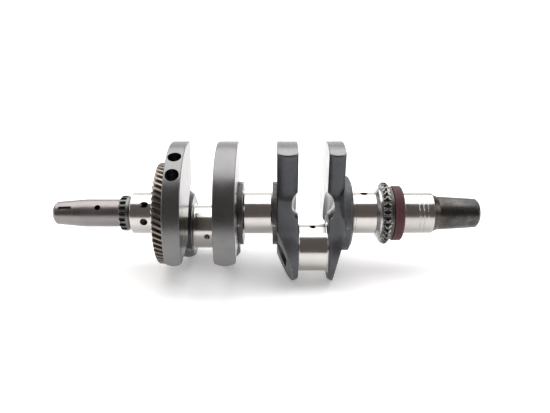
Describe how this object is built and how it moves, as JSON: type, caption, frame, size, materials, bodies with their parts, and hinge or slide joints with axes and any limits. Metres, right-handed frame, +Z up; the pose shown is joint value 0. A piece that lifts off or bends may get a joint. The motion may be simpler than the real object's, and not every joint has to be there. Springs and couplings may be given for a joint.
{
  "type": "crankshaft",
  "caption": "Forged crankshaft with two offset throws, counterweights, plain journals, balancer gear, chain sprockets and a rotary oil seal.",
  "frame": {"origin": "on the crank axis at the middle of the centre main journal", "axes": "+X along the crank axis towards the drive taper, +Z up, with the two throws 45 degrees below horizontal on either side"},
  "size_m": [0.4267, 0.145, 0.1315],
  "materials": {
    "turned_steel": "turned satin steel",
    "polished_journal": "ground and lapped journal steel",
    "machined_web": "machined counterweight rims over a forged skin",
    "forged_web": "dark forged skin with machined faces",
    "drive_taper_steel": "ground land, scuffed dark taper",
    "gear_steel": "brownish hardened gear steel",
    "blackened_steel": "black oxide with bright worn edges",
    "pin_steel": "plain bright steel",
    "seal_rubber": "maroon brown seal rubber"
  },
  "bodies": {
    "crankshaft": {"nose_shaft": "turned_steel", "front_journal": "polished_journal", "front_outer_web": "machined_web", "front_crankpin": "polished_journal", "front_inner_web": "machined_web", "centre_journal": "polished_journal", "rear_inner_web": "forged_web", "rear_crankpin": "polished_journal", "rear_outer_web": "forged_web", "rear_journal": "polished_journal", "drive_shaft_end": "drive_taper_steel", "balancer_gear": "gear_steel", "balancer_gear_dowel": "pin_steel", "timing_sprocket": "blackened_steel", "timing_sprocket_key": "pin_steel", "pump_sprocket": "blackened_steel", "pump_sprocket_key": "pin_steel", "cone_collar": "turned_steel", "spacer_ring": "blackened_steel", "front_crankpin_plug": "pin_steel", "rear_crankpin_plug": "pin_steel", "nose_gallery_plug": "pin_steel"},
    "oil_seal": {"oil_seal_case": "pin_steel", "oil_seal_rubber": "seal_rubber", "oil_seal_spring": "pin_steel"}
  },
  "joints": [
    {"name": "seal_spin", "type": "hinge", "parent": "crankshaft", "child": "oil_seal", "pos_m": [0.138, 0, 0], "axis": [1, 0, 0], "continuous": true}
  ]
}
